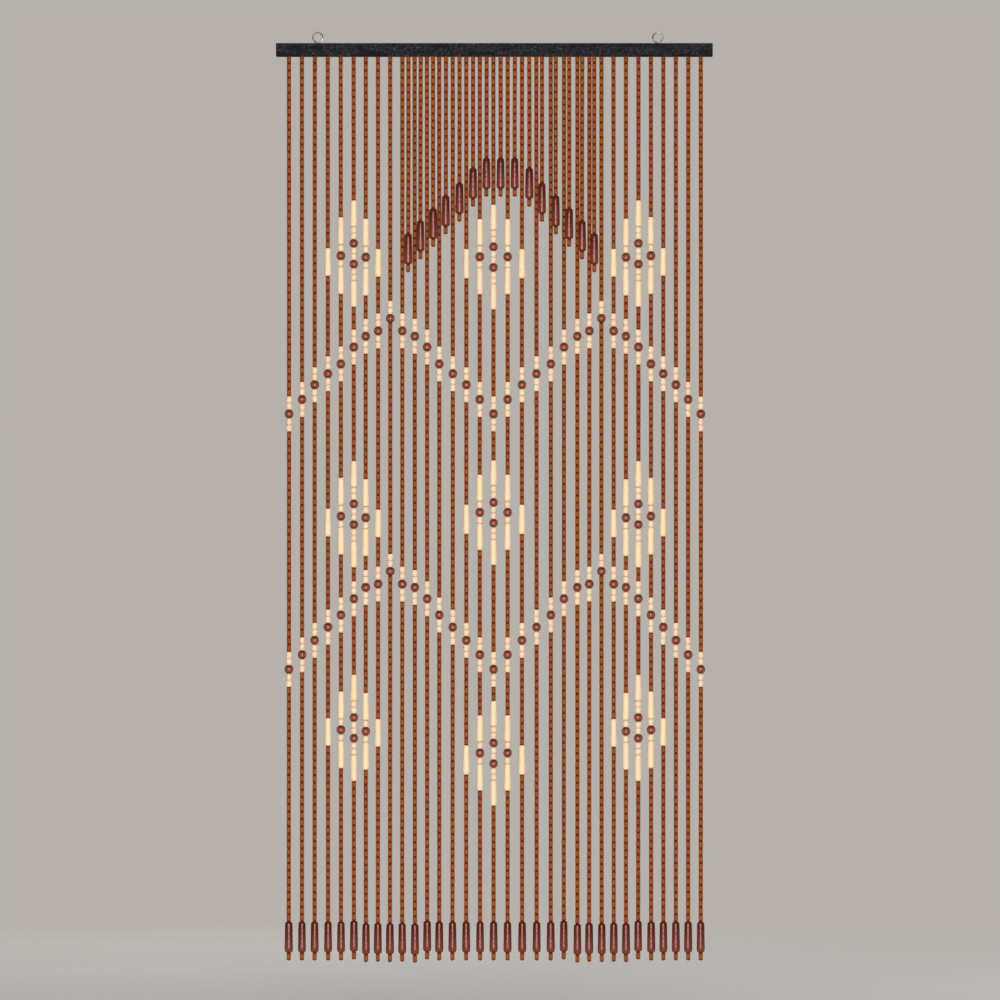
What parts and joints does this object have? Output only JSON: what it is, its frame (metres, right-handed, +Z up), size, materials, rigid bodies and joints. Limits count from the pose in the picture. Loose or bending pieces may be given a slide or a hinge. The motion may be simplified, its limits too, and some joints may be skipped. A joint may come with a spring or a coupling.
{
  "type": "bead curtain with header rail",
  "caption": "Doorway curtain of wooden bead strands with diamond and zigzag bands and a short arched fringe, hung from a dark header rail with two screw eyes.",
  "frame": {"origin": "over the middle of the header rail, level with the centres of the two screw eyes that the curtain hangs from", "axes": "+Z up; +X along the rail, to the right when the curtain is seen from the front; -Y towards the front"},
  "size_m": [0.9, 0.0249, 1.9183],
  "materials": {
    "header": "charcoal stone-like mottled coating, satin",
    "eye_steel": "bright plated wire",
    "beads": "lacquered, orange-brown with cream and dark red motifs"
  },
  "bodies": {
    "root": {"header_rail": "header", "eye_left": "eye_steel", "eye_right": "eye_steel", "bead_comb": "beads"}
  },
  "joints": []
}
